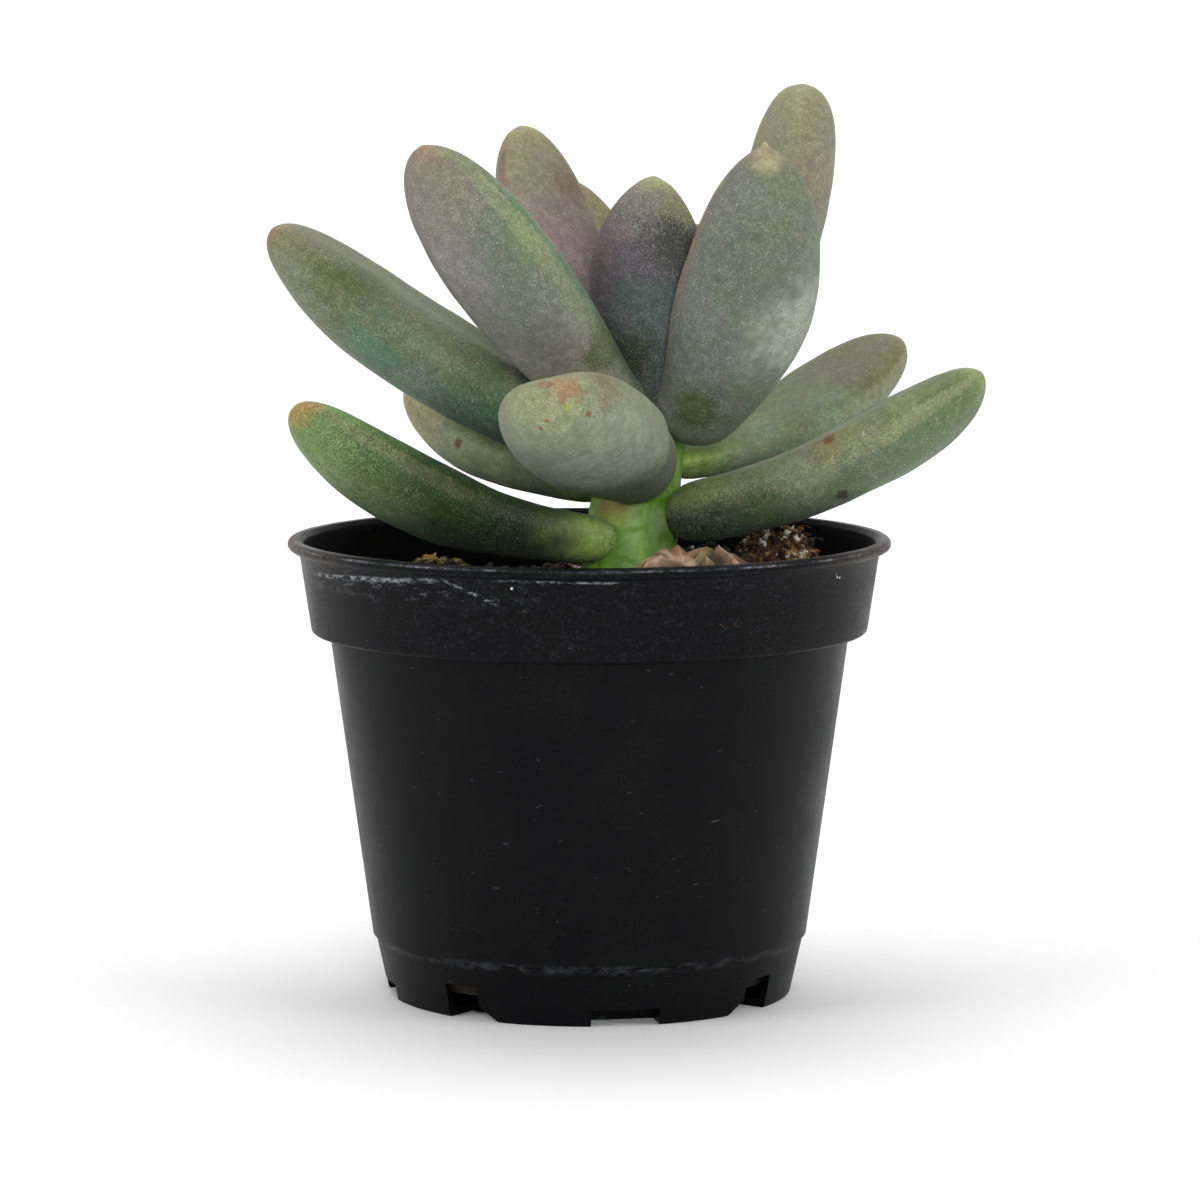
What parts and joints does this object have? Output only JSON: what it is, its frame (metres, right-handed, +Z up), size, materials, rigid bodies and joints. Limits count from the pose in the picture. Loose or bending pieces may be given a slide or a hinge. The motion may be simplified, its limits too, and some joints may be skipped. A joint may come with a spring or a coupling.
{
  "type": "potted succulent",
  "caption": "Rosette of long fleshy leaves on a short thick stem, growing in soil in a tapered round nursery pot with a collar, a rolled lip and drainage notches at its foot.",
  "frame": {"origin": "middle of the pot's base disc, on the surface that the pot stands on", "axes": "+Z up along the pot's axis; -Y towards the viewer; +X to the viewer's right"},
  "size_m": [0.1207, 0.102, 0.1535],
  "materials": {
    "pot_plastic": "satin charcoal black, thin-walled, lightly scuffed and dusty",
    "potting_soil": "loose dark peat with white perlite grains",
    "stem_skin": "smooth lime green with a pale waxy bloom",
    "leaf_skin": "matte grey-green under a powdery bloom, flushed mauve, with orange-pink tips",
    "dried_leaf": "dry, crinkled, papery tan",
    "soil_clod": "fibrous brown peat with perlite grains"
  },
  "bodies": {
    "root": {"nursery_pot": "pot_plastic", "potting_soil": "potting_soil", "stem": "stem_skin", "leaf_01_low_left": "leaf_skin", "leaf_02_low_right": "leaf_skin", "leaf_03_low_back_left": "leaf_skin", "leaf_04_front": "leaf_skin", "leaf_05_right": "leaf_skin", "leaf_06_left": "leaf_skin", "leaf_07_front_right": "leaf_skin", "leaf_08_back": "leaf_skin", "leaf_09_front_left": "leaf_skin", "leaf_10_upper_right": "leaf_skin", "leaf_11_upper_left": "leaf_skin", "leaf_12_inner_front": "leaf_skin", "leaf_13_low_back": "leaf_skin", "leaf_14_inner_back_right": "leaf_skin", "leaf_15_inner_left": "leaf_skin", "leaf_16_inner_right": "leaf_skin", "leaf_17_young_back": "leaf_skin", "leaf_18_young_front": "leaf_skin", "dried_leaf": "dried_leaf", "soil_clod": "soil_clod"}
  },
  "joints": []
}
